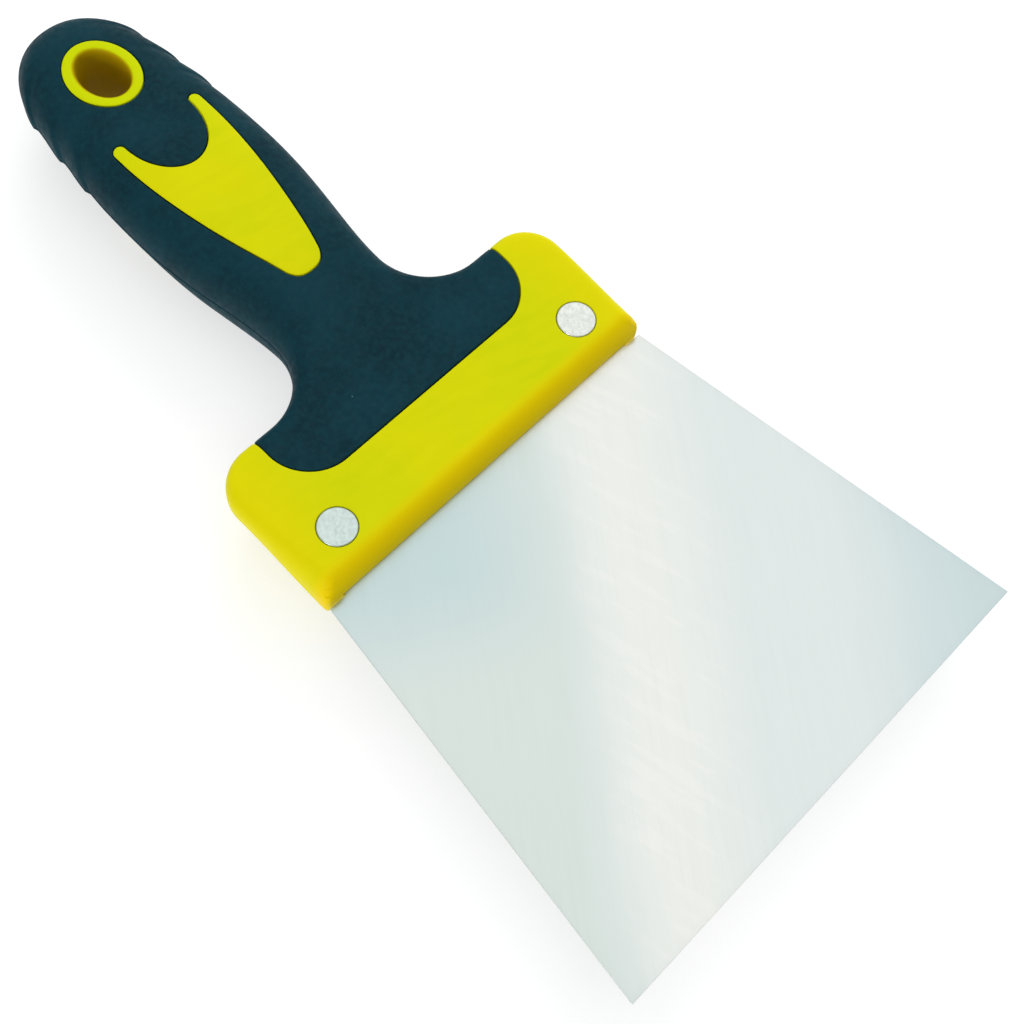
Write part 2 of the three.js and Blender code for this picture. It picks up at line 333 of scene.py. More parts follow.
def surface(flat, inset=0.0, relief=None):
    """Points of the handle's upper half, `inset` below its skin, with a relief along its normal."""
    depth, place, outward = RIM_CURVE.nearest(flat)
    reach = rim_reach(place[:, 1])
    angle = np.clip(depth / reach, 0, 1) * math.pi / 2
    inwards = np.where(depth < reach, inset + (reach - inset) * (1 - np.cos(angle)), depth)
    plan = place - outward * inwards[:, None]
    half = half_thickness(plan[:, 1])
    down = half - BAND_HALF - inset
    height = half - inset - down * (1 - np.sin(angle))
    points = np.column_stack([plan, height])
    if relief is not None:
        out, up = down * np.cos(angle), (reach - inset) * np.sin(angle)
        length = np.hypot(out, up)
        normal = np.column_stack([outward * (out / length)[:, None], up / length])
        points += normal * relief(plan, flat)[:, None]
    return points


def moulded(points):
    """The section of the mould: its middle is raised, and the lower half leaves the widest line at a
    slant. Given points of a section that is the same above and below, and is widest in its middle."""
    shaped = np.array(points, float)
    x, y, z = shaped.T
    half = half_thickness(y)
    clear_of_slot = np.maximum(smoothstep(np.abs(x), *BESIDE_SLOT), smoothstep(y, *BEHIND_SLOT))
    backward = (1 - smoothstep(y, *RISE_ENDS)) * clear_of_slot
    slant = 1 - smoothstep(y, *SLANT_ENDS) + smoothstep(y, *SLANT_RETURNS) * backward
    share = np.clip((-z - BAND_HALF) / (half - BAND_HALF), 0, 1)
    keeled = 1 - (1 - share**2) ** (GRIP["keel"] / 2)
    z += (share - lerp(share, keeled, slant)) * (half - BAND_HALF)
    z += GRIP["parting_rise"] * backward * (1 - (z / half) ** 2)
    return shaped


# Meshes


def at_height(plan, height):
    return np.column_stack([plan, np.full(len(plan), height)])


class Shell:
    """Vertices and faces of a piece, or of its upper half."""

    def __init__(self):
        self.points, self.faces, self.count = [], [], 0

    def add(self, points):
        ids = np.arange(self.count, self.count + len(points))
        self.points.append(np.asarray(points, float))
        self.count += len(points)
        return ids

    def fill(self, ids, triangles):
        self.faces.extend(ids[triangles].tolist())

    def strip(self, first, second, loop=False):
        """A band of quads between two rows of vertices."""
        a, b = (np.append(r, r[0]) if loop else r for r in (first, second))
        self.faces.extend(np.stack([a[:-1], a[1:], b[1:], b[:-1]], axis=1).tolist())

    def extend(self, row, points, loop=True):
        """A new row of vertices, with a band of quads from the given one."""
        below = self.add(points)
        self.strip(row, below, loop)
        return below

    def close(self, outer, inner):
        """A face between two columns of vertices, both given from the top down."""
        self.faces.append([int(i) for i in (*outer, *inner[::-1])])

    def place(self, ids):
        return np.concatenate(self.points)[ids]


def triangulate(outer, holes=(), inner=()):
    """Triangles over the area inside a loop and outside the holes, with inner points.
    Gives the points, the triangles, and each loop's numbers in the points."""
    loops = [outer, *holes]
    points = np.concatenate([*loops, *inner])
    edges, first = [], 0
    for loop in loops:
        ids = first + np.arange(len(loop))
        edges.extend(np.column_stack([ids, np.roll(ids, -1)]).tolist())
        first += len(loop)
    made = delaunay_2d_cdt([Vector(p) for p in points.tolist()], edges, [], 0, MERGE)
    flat, triangles = np.array([tuple(v) for v in made[0]]), np.array(made[2])
    number = np.zeros(len(points), int)
    for i, sources in enumerate(made[3]):
        number[sources] = i
    a, b, c = (flat[triangles[:, i]] for i in range(3))
    middles = (a + b + c) / 3
    keep = (np.abs(np.cross(b - a, c - a)) > SLIVER) & inside(middles, outer)
    for hole in holes:
        keep &= ~inside(middles, hole)
    starts = np.cumsum([0, *[len(loop) for loop in loops]])
    rings = [number[a:b] for a, b in zip(starts, starts[1:])]
    return flat, triangles[keep], rings


def inside(points, loop):
    """Which points a loop goes round."""
    crossings = np.zeros(len(points), int)
    x, y = points[:, 0], points[:, 1]
    for (x0, y0), (x1, y1) in zip(loop, np.roll(loop, -1, axis=0)):
        if y0 == y1:
            continue
        spans = (y0 > y) != (y1 > y)
        crossings += spans & (x < (x1 - x0) * (y - y0) / (y1 - y0) + x0)
    return crossings % 2 == 1


def beside(curve, offset, loop=True):
    """A copy of a curve at a distance to its right, which is outside a loop that runs anticlockwise."""
    if loop:
        tangent = np.roll(curve, -1, axis=0) - np.roll(curve, 1, axis=0)
    else:
        tangent = np.gradient(curve, axis=0)
    tangent /= np.linalg.norm(tangent, axis=1)[:, None]
    return curve + offset * np.column_stack([tangent[:, 1], -tangent[:, 0]])


def lattice(outer, step):
    """A triangular lattice over a loop's box."""
    low, high = outer.min(0), outer.max(0)
    rows = []
    for i, y in enumerate(np.arange(low[1], high[1], step * math.sqrt(3) / 2)):
        xs = np.arange(low[0] + step * (i % 2) / 2, high[0], step)
        rows.append(np.column_stack([xs, np.full(len(xs), y)]))
    return np.concatenate(rows)


class Seam:
    """An edge that a skin is rounded down to. `side` is 1 where the skin is on its left, -1 right."""

    ROWS = np.array([0.06, 0.2, 0.45, 1.0, 1.7])  # of the lip's radius

    def __init__(self, curve, side, lip, loop=True):
        self.curve, self.side, self.lip, self.loop = curve, side, lip, loop
        self.measure = Curves(curve, loop=loop)

    def rows(self):
        return [beside(self.curve, -self.side * self.lip * share, self.loop) for share in self.ROWS]

    def clear(self, plan, room):
        return self.measure.nearest(plan)[0] > self.ROWS[-1] * self.lip + room

    def drop(self, plan):
        short = np.clip(self.lip - self.measure.nearest(plan)[0], 0, self.lip)
        return self.lip - np.sqrt(self.lip**2 - short**2)


def skin(outer, holes, seams, rim=None):
    """A triangulated part of the handle's skin, in unrolled plan. Loops are given in plan. The mesh
    follows the seams and, where the skin reaches it, the rim."""
    edge = unroll(outer)
    rows = [unroll(row) for seam in seams for row in seam.rows()]
    inner = [row[inside(row, edge) & (RIM_CURVE.nearest(row)[0] > RIM_CLEARANCE)] for row in rows]
    margin = ROW_CLEARANCE
    loose = []
    if rim is not None:
        _, place, outward = RIM_CURVE.nearest(rim)
        margin += RIM_ROWS[-1]
        for depth in RIM_ROWS:
            row = place - outward * depth
            loose.append(row[np.abs(RIM_CURVE.nearest(row)[0] - depth) < RIM_ROW_SLACK])
    grid = lattice(edge, STEP)
    loose.append(grid[RIM_CURVE.nearest(grid)[0] > margin])
    for points in loose:
        good = inside(points, edge)
        plan = surface(points)[:, :2]
        for seam in seams:
            good &= seam.clear(plan, ROW_CLEARANCE)
        inner.append(points[good])
    return triangulate(edge, [unroll(hole) for hole in holes], inner)


def lips(seams, more=None):
    """The relief of a skin that is rounded down at its seams."""

    def relief(plan, flat):
        height = np.zeros(len(plan)) if more is None else more(plan, flat)
        for seam in seams:
            height = height - seam.drop(plan)
        return height

    return relief


def thumb_ridges(plan, flat):
    """Three slanting steps on each side near the hanging end: a slow rise and a short fall."""
    depth, _, _ = RIM_CURVE.nearest(flat)
    slant = flat[:, 1] + RIDGE["slant"] * depth
    fade = 1 - smoothstep(depth, RIDGE["full_depth"], RIDGE["depth"])
    height = np.zeros(len(plan))
    for y in RIDGE["ys"]:
        ahead = slant - y
        rise = smoothstep(ahead, -RIDGE["rise"], 0)
        fall = smoothstep(ahead, 0, RIDGE["fall"])
        recover = smoothstep(ahead, RIDGE["fall"], RIDGE["rise"])
        height += RIDGE["height"] * (rise * (1 - fall) - RIDGE["trough"] * fall * (1 - recover))
    return height * fade


def rim_band(shell, ids, outward, levels):
    """Rows down from the rounding to the parting plane, at the levels that `levels` gives for the top
    row's heights, as (height, how far in)."""
    top = shell.place(ids)
    made = [ids]
    for height, inwards in levels(top[:, 2]):
        points = top.copy()
        points[:, :2] -= outward * inwards
        points[:, 2] = height
        made.append(shell.extend(made[-1], points, loop=False))
    return made


def rubber_levels(top):
    """Down the upright band and into the parting groove."""
    upright = [(lerp(top, PARTING["start"], share), 0.0) for share in (1 / 3, 2 / 3, 1)]
    return upright + [(PARTING["edge"], 0.0), (0.0, PARTING["depth"])]


def head_levels(top):
    return [(lerp(top, SLOT_HALF, share), 0.0) for share in (0.5, 1)]


def under_rubber_levels(_top):
    return [(0.0, 0.0)]


# Pieces


def finished(piece, body, slot, material, *nodes):
    """The piece with its material, standing for its CAD nodes."""
    piece.data.materials.append(material)
    if body:
        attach(piece, body)
    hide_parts(*nodes)
    return piece


def mesh_object(name, shell, mirrored=True):
    """A shell in the tool's millimetres as a welded object. A mirrored one is given by its upper half."""
    points, faces = np.concatenate(shell.points), shell.faces
    if mirrored:
        below = len(points)
        points = moulded(np.concatenate([points, points * [1, 1, -1]]))
        faces = faces + [[below + i for i in face] for face in faces]
    mesh = bpy.data.meshes.new(name)
    mesh.from_pydata((points * MM + TOOL_ORIGIN).tolist(), [], faces)
    work = bmesh.new()
    work.from_mesh(mesh)
    bmesh.ops.remove_doubles(work, verts=work.verts[:], dist=WELD * MM)
    bmesh.ops.delete(work, geom=[v for v in work.verts if not v.link_faces], context="VERTS")
    bmesh.ops.holes_fill(work, edges=[edge for edge in work.edges if edge.is_boundary], sides=4)
    bmesh.ops.recalc_face_normals(work, faces=work.faces[:])
    for face in work.faces:
        face.smooth = True
    for edge in work.edges:
        if edge.is_manifold:
            edge.smooth = edge.calc_face_angle() < SHARP
    work.to_mesh(mesh)
    work.free()
    piece = bpy.data.objects.new(name, mesh)
    bpy.context.scene.collection.objects.link(piece)
    return piece


def rubber_plan():
    """The rubber's skin in unrolled plan, which the core's skin under it repeats."""
    right = grip_outline(SEAM_X - SEAM_HALF)
    edge = beside(apron(), SEAM_MIDDLE - SEAM_HALF, loop=False)
    outer = closed(chain(right, edge, mirror(right)))
    holes = [beside(hole, SEAM_MIDDLE + SEAM_HALF) for hole in (panel(), oval(**EYELET))]
    seams = [Seam(edge, 1, LIP, loop=False)] + [Seam(hole, -1, LIP) for hole in holes]
    rim = closed(chain(mirror(right), right)[:-1])
    flat, triangles, rings = skin(outer, holes, seams, rim)
    last, count = len(right) - 1, len(edge)
    ring = rings[0]
    rim_ids = np.concatenate([ring[last + count - 1:], ring[:last + 1]])
    edge_ids = ring[last:last + count]
    return flat, triangles, seams, rim_ids, edge_ids, rings[1:]


def soft_grip(plan):
    flat, triangles, seams, rim_ids, edge_ids, holes = plan
    shell = Shell()
    top = shell.add(surface(flat, 0, lips(seams, thumb_ridges)))
    under = shell.add(surface(flat, WALL - FIT_GAP / 2))
    shell.fill(top, triangles)
    shell.fill(under, triangles)
    shell.strip(top[edge_ids], under[edge_ids])
    for hole in holes:
        shell.strip(top[hole], under[hole], loop=True)
    outward = RIM_CURVE.nearest(flat[rim_ids])[2]
    outer = rim_band(shell, top[rim_ids], outward, rubber_levels)
    inner = rim_band(shell, under[rim_ids], outward, under_rubber_levels)
    for end in (0, -1):
        shell.close([row[end] for row in outer], [row[end] for row in inner])
    return mesh_object("soft_grip_skin", shell)


def handle_core(plan):
    """The hard plastic: its skin under the rubber, the head, and where it comes up in the rubber."""
    flat, triangles, _, rim_ids, edge_ids, holes = plan
    shell = Shell()
    under = shell.add(surface(flat, WALL + FIT_GAP / 2))
    shell.fill(under, triangles)

    right = head_outline(SEAM_X + SEAM_HALF)
    rim = chain(right, mirror(right))
    edge = beside(apron(), SEAM_MIDDLE + SEAM_HALF, loop=False)[::-1]
    seat_radius, bore_radius = RIVET["head_radius"] + SEAT_GAP, RIVET["sleeve_radius"] + FIT_GAP
    seats = at_rivets(seat_radius)
    bores = [seat.mean(0) + (seat - seat.mean(0)) * bore_radius / seat_radius for seat in seats]
    seams = [Seam(edge, 1, LIP, loop=False)] + [Seam(seat, -1, SEAT_LIP) for seat in seats]
    head_flat, head_triangles, rings = skin(closed(chain(rim, edge)), seats, seams, rim)
    head = shell.add(surface(head_flat, 0, lips(seams)))
    shell.fill(head, head_triangles)
    head_edge = head[np.append(rings[0][len(rim) - 1:], rings[0][0])]
    shell.strip(head_edge[::-1], under[edge_ids])

    slot_start = len(right) - len(line((SLOT_X, 0), (0, 0)))
    slot = slice(slot_start, len(rim) - slot_start)
    core_rim(shell, rim, head[rings[0][:len(rim)]], slot, flat[rim_ids], under[rim_ids])
    slot_rings = tang_slot(shell, rim[slot], bores)
    rivet_seats(shell, [head[ring] for ring in rings[1:]], seats, bores, slot_rings)
    core_in_openings(shell, under, holes)
    return mesh_object("handle_core_body", shell)


def core_rim(shell, rim, head_rim, slot, under_plan, under_rim):
    """The head's rim, which ends above the parting plane over the slot, the core's rim under the
    rubber, and the two faces that join them. `slot` picks the slot's mouth from the rim's points."""
    rows = rim_band(shell, head_rim, RIM_CURVE.nearest(rim)[2], head_levels)
    lowest = shell.place(rows[-1]) * [1, 1, 0]
    closing = []
    for part in (slice(0, slot.start + 1), slice(slot.stop - 1, len(rim))):
        closing.append(shell.extend(rows[-1][part], lowest[part], loop=False))
    inner = rim_band(shell, under_rim, RIM_CURVE.nearest(under_plan)[2], under_rubber_levels)
    shell.close([*(row[0] for row in rows), closing[0][0]], [row[-1] for row in inner])
    shell.close([*(row[-1] for row in rows), closing[1][-1]], [row[0] for row in inner])


def tang_slot(shell, mouth, bores):
    """The slot's ceiling, and its walls down to the parting plane. Gives the ceiling's vertices round
    each bore."""
    back = -TANG["depth"] - FIT_GAP
    loop = closed(chain(
        mouth,
        line((-SLOT_X, 0), (-SLOT_X, back)),
        line((-SLOT_X, back), (SLOT_X, back)),
        line((SLOT_X, back), (SLOT_X, 0)),
    ))
    grid = lattice(loop, SLOT_STEP)
    grid = grid[inside(grid, loop * 0.98)]  # clear of the walls
    flat, triangles, rings = triangulate(loop, bores, [grid])
    ceiling = shell.add(at_height(flat, SLOT_HALF))
    shell.fill(ceiling, triangles)
    walls = np.append(rings[0][len(mouth) - 1:], rings[0][0])
    shell.extend(ceiling[walls], at_height(flat[walls], 0), loop=False)
    return [ceiling[ring] for ring in rings[1:]]


def rivet_seats(shell, skin_rings, seats, bores, slot_rings):
    """From the head's skin down to each rivet head's seat, and through its bore to the slot."""
    floor = HEAD["half"] + RIVET["proud"] - RIVET["head_thickness"] - FIT_GAP
    for row, seat, bore, slot_ring in zip(skin_rings, seats, bores, slot_rings):
        for loop in (seat, bore):
            row = shell.extend(row, at_height(loop, floor))
        shell.strip(row, slot_ring, loop=True)


def core_in_openings(shell, under, holes):
    """The core where it comes up through the rubber: the bare panel, and the eyelet with its hole."""
    hang_hole = oval(y=EYELET["y"], **HANG_HOLE)
    for plan, opening, inner_loops in ((panel(), holes[0], []), (oval(**EYELET), holes[1], [hang_hole])):
        edge = beside(plan, SEAM_MIDDLE - SEAM_HALF)
        seams = [Seam(edge, 1, LIP)] + [Seam(loop, -1, HOLE_LIP) for loop in inner_loops]
        flat, triangles, rings = skin(edge, inner_loops, seams)
        part = shell.add(surface(flat, 0, lips(seams)))
        shell.fill(part, triangles)
        shell.strip(part[rings[0]], under[opening], loop=True)
        for ring in rings[1:]:
            hang_hole_wall(shell, part[ring])


def hang_hole_wall(shell, row):
    """Rows from the hole's lip down to the parting plane, drawn in by the mould's draft."""
    top, centre = shell.place(row), np.array([0, EYELET["y"]])
    for share in HOLE_ROWS:
        points = top * [1, 1, 1 - share]
        points[:, :2] = centre + (top[:, :2] - centre) * (1 - HOLE_DRAFT * share)
        row = shell.extend(row, points)


def blade_sheet():
    """The sprung steel sheet with its tang, in a mesh fine enough to bend."""
    edge, head, tang = BLADE["edge_width"] / 2, BLADE["head_width"] / 2, TANG["width"] / 2
    corner, back, root = TANG["corner"], -TANG["depth"], FIT_GAP
    step = BLADE_STEP
    right = chain(
        line((0, back), (tang - corner, back), step),
        arc(tang - corner, back + corner, corner, corner, -90, 0),
        line((tang, back + corner), (tang, root), step),
        line((tang, root), (head, root), step),
        line((head, root), (edge, FREE_LENGTH), step),
        line((edge, FREE_LENGTH), (0, FREE_LENGTH), step),
    )
    outer = closed(chain(right, mirror(right)))
    inset = beside(outer, -BLADE_ROUND)
    bores = at_rivets(RIVET["sleeve_radius"] + FIT_GAP)
    grid = lattice(outer, step)
    keep = inside(grid, outer)
    for curve, room in ((outer, 0.5 * step), *((bore, 0.4 * step) for bore in bores)):
        keep &= Curves(curve).nearest(grid)[0] > room
    flat, triangles, rings = triangulate(inset, bores, [grid[keep]])
    shell = Shell()
    top = shell.add(at_height(flat, BLADE["half"]))
    shell.fill(top, triangles)
    row = top[rings[0]]
    for angle in (30, 60, 90):
        a = math.radians(angle)
        loop = beside(outer, -BLADE_ROUND * (1 - math.sin(a)))
        row = shell.extend(row, at_height(loop, BLADE["half"] - BLADE_ROUND * (1 - math.cos(a))))
    shell.extend(row, at_height(outer, 0))
    for bore, ring in zip(bores, rings[1:]):
        shell.extend(top[ring], at_height(bore, 0))
    return mesh_object("blade_sheet", shell)


def turned(name, x, profile, sign):
    """A round piece of a rivet, turned about its upright axis. The profile is (radius, height)."""
    angles = np.linspace(0, 2 * math.pi, TURNED_STEPS, endpoint=False)
    shell = Shell()
    rows = []
    for radius, height in profile:
        if radius == 0:
            rows.append(shell.add([[x, RIVET["y"], sign * height]]))
            continue
        ring = np.column_stack([x + radius * np.cos(angles), RIVET["y"] + radius * np.sin(angles)])
        rows.append(shell.add(at_height(ring, sign * height)))
    for a, b in zip(rows, rows[1:]):
        if len(a) == 1 or len(b) == 1:
            tip, ring = (a, b) if len(a) == 1 else (b, a)
            shell.faces.extend([[int(tip[0]), int(p), int(q)] for p, q in zip(ring, np.roll(ring, -1))])
        else:
            shell.strip(a, b, loop=True)
    return mesh_object(name, shell, mirrored=False)


def rivet_head_profile(top):
    """From the middle to the rim's lower edge: a flat with a shallow dish, and a rounded rim."""
    radius, rim = RIVET["head_radius"], RIVET_RIM
    profile = [(share * radius, top - depth) for share, depth in RIVET_DISH]
    for angle in (0, 18, 36, 54, 72, 90):
        a = math.radians(angle)
        profile.append((radius - rim * (1 - math.sin(a)), top - rim * (1 - math.cos(a))))
    return profile + [(radius, top - RIVET["head_thickness"])]


def rivet_post(name, x):
    top = HEAD["half"] + RIVET["proud"]
    under = top - RIVET["head_thickness"]
    end = under - RIVET["sleeve_length"] - RIVET["post_beyond"]
    radius = RIVET["post_radius"]
    tail = [(radius, under), (radius, end + RIVET_CHAMFER), (radius - RIVET_CHAMFER, end), (0, end)]
    return turned(name, x, rivet_head_profile(top) + tail, 1)


def rivet_sleeve(name, x):
    top = HEAD["half"] + RIVET["proud"]
    under = top - RIVET["head_thickness"]
    end = under - RIVET["sleeve_length"]
    outer, inner = RIVET["sleeve_radius"], RIVET["post_radius"] + FIT_GAP
    tail = [(outer, under), (outer, end), (inner, end), (inner, under), (0, under)]
    return turned(name, x, rivet_head_profile(top) + tail, -1)


# Materials. Colours are given as 8-bit sRGB, and places in metres.

MIRRORED_WHITE = 1.095
EARS = (0.024, 0.04)  # of X to either side, where painted shade turns the yellow warmer
FRONT_FACE = (-0.0048, -0.0012)  # of the tool's Y, where painted shade turns it warmer still, on the front face
HANGING_END = (-0.078, -0.094)  # of the tool's Y, where it turns greener
BAND_TURN = math.atan2(0.61, 0.79)  # of the blade's bands of painted reflection and its streaks, about Z
HATCH_TURN = math.radians(-12)


class Finish:
    """A Principled material whose nodes read the object's own coordinates."""

    def __init__(self, name, **constants):
        self.material = bpy.data.materials.new(name)
        self.material.use_nodes = True
        self.nodes = self.material.node_tree.nodes
        self.links = self.material.node_tree.links
        self.shader = self.nodes["Principled BSDF"]
        for socket, value in constants.items():
            self.shader.inputs[socket.replace("_", " ")].default_value = value
        self.place = self.nodes.new("ShaderNodeTexCoord").outputs["Object"]

    def add(self, kind, inputs=None, output=0, **settings):
        node = self.nodes.new(f"ShaderNode{kind}")
        for setting, value in settings.items():
            setattr(node, setting, value)
        for socket, value in (inputs or {}).items():
            if isinstance(value, bpy.types.NodeSocket):
                self.links.new(value, node.inputs[socket])
            else:
                node.inputs[socket].default_value = value
        return node.outputs[output]

    def axis(self, index, vector=None):
        return self.add("SeparateXYZ", {0: vector or self.place}, output=index)

    def noise(self, scale, detail=2.0, roughness=0.5, vector=None, distortion=0.0):
        return self.add("TexNoise", {"Vector": vector or self.place, "Scale": scale, "Detail": detail,
                                     "Roughness": roughness, "Distortion": distortion})

    def remap(self, value, low, high, to_low=0.0, to_high=1.0):
        return self.add("MapRange", {"Value": value, "From Min": low, "From Max": high, "To Min": to_low,
                                     "To Max": to_high}, interpolation_type="SMOOTHSTEP")

    def mix(self, share, first, second):
        """Between two colours, each a socket or three numbers."""
        first, second = ((*c, 1) if isinstance(c, tuple) else c for c in (first, second))
        return self.add("Mix", {0: share, 6: first, 7: second}, output=2, data_type="RGBA")

    def math(self, operation, first, second=0.0):
        return self.add("Math", {0: first, 1: second}, operation=operation)

    def times(self, first, second):
        return self.math("MULTIPLY", first, second)

    def turned(self, vector, turn):
        return self.add("VectorRotate", {"Vector": vector, "Angle": turn}, rotation_type="Z_AXIS")

    def stretched(self, scale, turn):
        """Coordinates turned about Z, then scaled, so that a noise becomes streaks."""
        return self.add("Mapping", {"Vector": self.turned(self.place, turn), "Scale": scale})

    def wire(self, socket, value):
        self.links.new(value, self.shader.inputs[socket])

    def bump(self, height, strength, distance, below=None):
        inputs = {"Height": height, "Strength": strength, "Distance": distance}
        if below is not None:
            inputs["Normal"] = below
        return self.add("Bump", inputs)


def rgb(red, green, blue):
    """A colour from its 8-bit sRGB values, as the linear values that a shader takes."""
    return tuple(v / 12.92 if v <= 0.04045 else ((v + 0.055) / 1.055) ** 2.4
                 for v in (red / 255, green / 255, blue / 255))


def seen(red, green, blue):
    """The base colour that makes bright metal look like this under the studio's panels, which it mirrors
    a little brighter than white."""
    return tuple(value / MIRRORED_WHITE for value in rgb(red, green, blue))


def yellow_plastic():
    """Satin polypropylene. The ears and the front face carry painted shade that tints them warmer, and the
    hang hole's bore carries painted shade: the deeper, browner tone that its walls give each other.
    """
    bore_scale = np.array([2 / HANG_HOLE["width"], 2 / HANG_HOLE["length"], 0]) / MM
    bore_shift = -(TOOL_ORIGIN + np.array([0, EYELET["y"] * MM, 0])) * bore_scale
    finish = Finish("yellow_plastic_satin", Roughness=0.4, Specular_IOR_Level=0.03)
    ears_painted_shade = finish.remap(finish.math("ABSOLUTE", finish.axis(0)), *EARS)
    clouds = finish.remap(finish.noise(45, 3), 0.35, 0.65)
    body = finish.mix(clouds, rgb(204, 210, 5), rgb(214, 211, 5))
    flow = finish.remap(finish.noise(1, 4, vector=finish.stretched((120, 420, 120), 0.2)), 0.3, 0.7)
    body = finish.mix(finish.times(flow, 0.35), body, rgb(222, 218, 10))
    # Painted shade: the yellow is tinted warmer towards the ears' edges.
    body = finish.mix(finish.times(ears_painted_shade, 0.6), body, rgb(228, 212, 5))
    y, origin_y = finish.axis(1), float(TOOL_ORIGIN[1])
    # Painted shade: a warmer tint on the shaded front face.
    front = finish.remap(y, *(origin_y + edge for edge in FRONT_FACE))
    body = finish.mix(front, body, rgb(235, 206, 2))
    green = finish.remap(y, *(origin_y + edge for edge in HANGING_END))
    body = finish.mix(finish.times(green, 0.8), body, rgb(198, 214, 3))
    eyelet = finish.add("Mapping", {"Vector": finish.place, "Location": tuple(bore_shift),
                                    "Scale": tuple(bore_scale)})
    from_axis = finish.add("VectorMath", {0: eyelet}, output=1, operation="LENGTH")
    # Painted shade: the bore is darkened to a browner tone, the shade its walls give each other.
    bore = finish.remap(from_axis, 1.0, 1.12, 1.0, 0.0)
    finish.wire("Base Color", finish.mix(bore, body, rgb(176, 148, 2)))
    finish.wire("Roughness", finish.remap(finish.noise(260, 4), 0.3, 0.7, 0.34, 0.5))
    grain = finish.bump(finish.noise(5200, 2), 0.08, 0.00003)
    finish.wire("Normal", finish.bump(finish.noise(160, 2), 0.1, 0.0002, grain))
    return finish.material


def teal_rubber():
    """Matt soft plastic: faint clouds and mottle, a fine grain and a few pale specks of dust."""
    finish = Finish("teal_rubber_matt", Roughness=0.55, Specular_IOR_Level=0.1)
    clouds = finish.remap(finish.noise(70, 4, 0.6), 0.3, 0.7)
    body = finish.mix(clouds, rgb(4, 40, 50), rgb(7, 53, 64))
    mottle = finish.remap(finish.noise(900, 3, 0.6), 0.35, 0.7)
    body = finish.mix(finish.times(mottle, 0.5), body, rgb(10, 59, 68))
    from_cell = finish.add("TexVoronoi", {"Vector": finish.place, "Scale": 170})
    speck = finish.remap(from_cell, 0.012, 0.03, 1.0, 0.0)
    chance = finish.add("SeparateColor", {0: from_cell.node.outputs["Color"]})
    dust = finish.times(speck, finish.math("GREATER_THAN", chance, 0.72))
    finish.wire("Base Color", finish.mix(finish.times(dust, 0.6), body, rgb(120, 160, 165)))
    finish.wire("Roughness", finish.remap(finish.noise(700, 3), 0.3, 0.7, 0.5, 0.68))
    grain = finish.bump(finish.noise(3800, 3, 0.65), 0.3, 0.00005)
    finish.wire("Normal", finish.bump(finish.noise(420, 2), 0.1, 0.0001, grain))
    return finish.material


def blade_steel():
    """Bright rolled steel with painted reflections: zones of painted reflection that follow a slanting
    band, a painted highlight hatched into the band, fine streaks along it, and grain.
    """
    finish = Finish("blade_spring_steel", Metallic=1.0, Roughness=0.3)
    local = finish.add("Mapping", {"Vector": finish.place, "Location": tuple(-TOOL_ORIGIN)})
    banded = finish.turned(local, BAND_TURN)
    across, along = finish.axis(0, banded), finish.axis(1, banded)
    wander = finish.times(finish.math("SUBTRACT", finish.noise(22, 2), 0.5), 0.012)
    across, along = (finish.math("ADD", axis, wander) for axis in (across, along))
    body = seen(224, 231, 229)
    # Painted reflection: darker and lighter zones across the blade, where the studio's reflections fall on
    # it.
    body = finish.mix(finish.remap(across, -0.055, -0.085), body, seen(203, 218, 219))
    body = finish.mix(finish.remap(across, -0.017, -0.004), body, seen(216, 225, 220))
    # Painted reflection: a bluish patch.
    blue = finish.times(finish.remap(across, -0.014, 0.012), finish.remap(along, 0.045, 0.02))
    body = finish.mix(blue, body, seen(199, 217, 217))
    # Painted reflection: the pale slanting band.
    band = finish.times(finish.remap(across, -0.042, -0.024), finish.remap(across, -0.02, -0.008, 1.0, 0.0))
    body = finish.mix(finish.times(band, 0.8), body, seen(237, 238, 232))
    # Painted highlight: a lighter hatch inside the band.
    painted_hatch_highlight = finish.noise(1, 3, 0.6, finish.stretched((420, 60, 1), HATCH_TURN))
    painted_hatch_highlight = finish.times(finish.remap(painted_hatch_highlight, 0.5, 0.62), band)
    body = finish.mix(finish.times(painted_hatch_highlight, 0.35), body, seen(243, 242, 237))
    streaks = finish.noise(1, 5, 0.7, finish.stretched((1900, 40, 1), BAND_TURN))
    faint = finish.times(finish.remap(streaks, 0.5, 0.8), 0.12)
    body = finish.mix(faint, body, seen(206, 213, 212))
    finish.wire("Base Color", body)
    finish.wire("Roughness", finish.remap(streaks, 0.3, 0.7, 0.3, 0.38))
    rolled = finish.noise(1, 3, 0.6, finish.stretched((6000, 120, 1), BAND_TURN))
    finish.wire("Normal", finish.bump(rolled, 0.03, 0.00001))
    return finish.material


def rivet_steel():
    """Pressed steel, clouded. The left pair is painted warmer, a painted reflection of what it mirrors."""
    finish = Finish("rivet_pressed_steel", Metallic=1.0, Roughness=0.42)
    clouds = finish.remap(finish.noise(900, 3, 0.6, distortion=1.5), 0.35, 0.65)
    cool = finish.mix(clouds, rgb(198, 210, 206), rgb(208, 223, 217))
    warm_painted_reflection = finish.mix(clouds, rgb(218, 221, 214), rgb(231, 235, 228))
    # Painted reflection: the left pair is warmer, the right pair cooler.
    finish.wire("Base Color", finish.mix(finish.remap(finish.axis(0), -0.02, 0.02), warm_painted_reflection, cool))
    finish.wire("Roughness", finish.remap(finish.noise(1500, 3), 0.3, 0.7, 0.34, 0.52))
    finish.wire("Normal", finish.bump(finish.noise(700, 3, distortion=2.0), 0.15, 0.00004))
    return finish.material


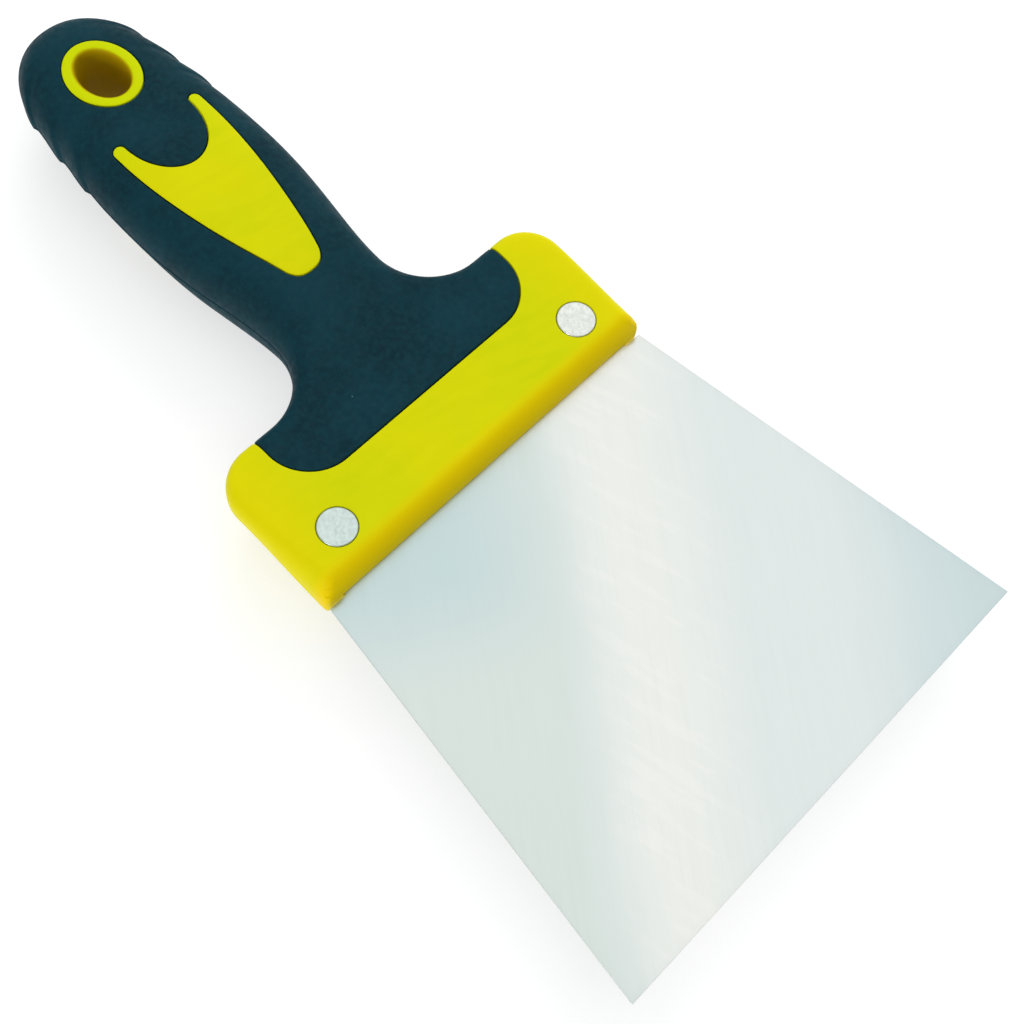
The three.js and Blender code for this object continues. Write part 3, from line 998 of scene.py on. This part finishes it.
def floor_paint():
    finish = Finish("pale_floor", Roughness=0.9, Emission_Color=(1, 1, 1, 1), Emission_Strength=0.62)
    finish.wire("Base Color", finish.mix(finish.noise(3, 2), (0.44, 0.44, 0.44), (0.48, 0.48, 0.48)))
    return finish.material


# Assembly

yellow, teal, steel, rivet_metal = yellow_plastic(), teal_rubber(), blade_steel(), rivet_steel()
plan = rubber_plan()
finished(soft_grip(plan), "handle", "teal_rubber", teal, "soft_grip")
finished(handle_core(plan), "handle", "yellow_plastic", yellow, "handle_core")
for side, x in (("left", -RIVET["x"]), ("right", RIVET["x"])):
    for half, maker in (("post", rivet_post), ("sleeve", rivet_sleeve)):
        name = f"rivet_{half}_{side}"
        finished(maker(f"{name}_turned", x), "handle", "rivet_steel", rivet_metal, name)

sheet = finished(blade_sheet(), None, "blade_steel", steel, "blade")
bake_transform(sheet)

# Stage


def area_light(name, position, target, size, radiance, mirrored=True):
    """A square soft box that shines at a target with an even radiance, and may be left out of mirrors."""
    light = bpy.data.lights.new(name, "AREA")
    light.shape = "SQUARE"
    light.size = size
    light.energy = radiance * math.pi * size**2
    lamp = bpy.data.objects.new(name, light)
    lamp.location = position
    lamp.rotation_euler = (Vector(target) - Vector(position)).to_track_quat("-Z", "Y").to_euler()
    lamp.visible_glossy = mirrored
    bpy.context.scene.collection.objects.link(lamp)


low, high = cad_box
middle = (low + high) / 2
area_light("overhead_panel", middle + Vector((-0.3, -0.12, 0.9)), middle, 1.9, 0.8)
area_light("key_soft_box", middle + Vector((-0.95, -0.75, 0.7)), middle, 0.8, 3.7, mirrored=False)
area_light("side_soft_box", middle + Vector((0.95, 0.25, 0.22)), middle, 0.45, 6.0)

world = bpy.data.worlds.new("pale_studio")
world.use_nodes = True
world.node_tree.nodes["Background"].inputs["Color"].default_value = (0.96, 0.985, 1.0, 1)
world.node_tree.nodes["Background"].inputs["Strength"].default_value = 0.36
bpy.context.scene.world = world
bpy.context.scene.view_settings.view_transform = "Standard"

FLOOR_REACH = 3.0
FLOOR_GAP = 0.0002  # below the tool
floor_corners = [(FLOOR_REACH * x, FLOOR_REACH * y, 0) for x, y in ((-1, -1), (1, -1), (1, 1), (-1, 1))]
floor_mesh = bpy.data.meshes.new("floor")
floor_mesh.from_pydata(floor_corners, [], [(0, 1, 2, 3)])
floor = bpy.data.objects.new("floor", floor_mesh)
floor.location.z = low.z - FLOOR_GAP
floor_mesh.materials.append(floor_paint())
bpy.context.scene.collection.objects.link(floor)

# At the photograph's viewing angle, from high above the blade's end
camera_data = bpy.data.cameras.new("camera")
camera_data.sensor_width = 36.0
camera_data.lens = 56.241
camera_data.clip_start = 0.01
camera = bpy.data.objects.new("camera", camera_data)
camera.location = (0.09934, 0.08779, 0.27031)
camera.rotation_euler = (math.radians(22.748), math.radians(-5.532), math.radians(134.374))
bpy.context.scene.collection.objects.link(camera)
bpy.context.scene.camera = camera
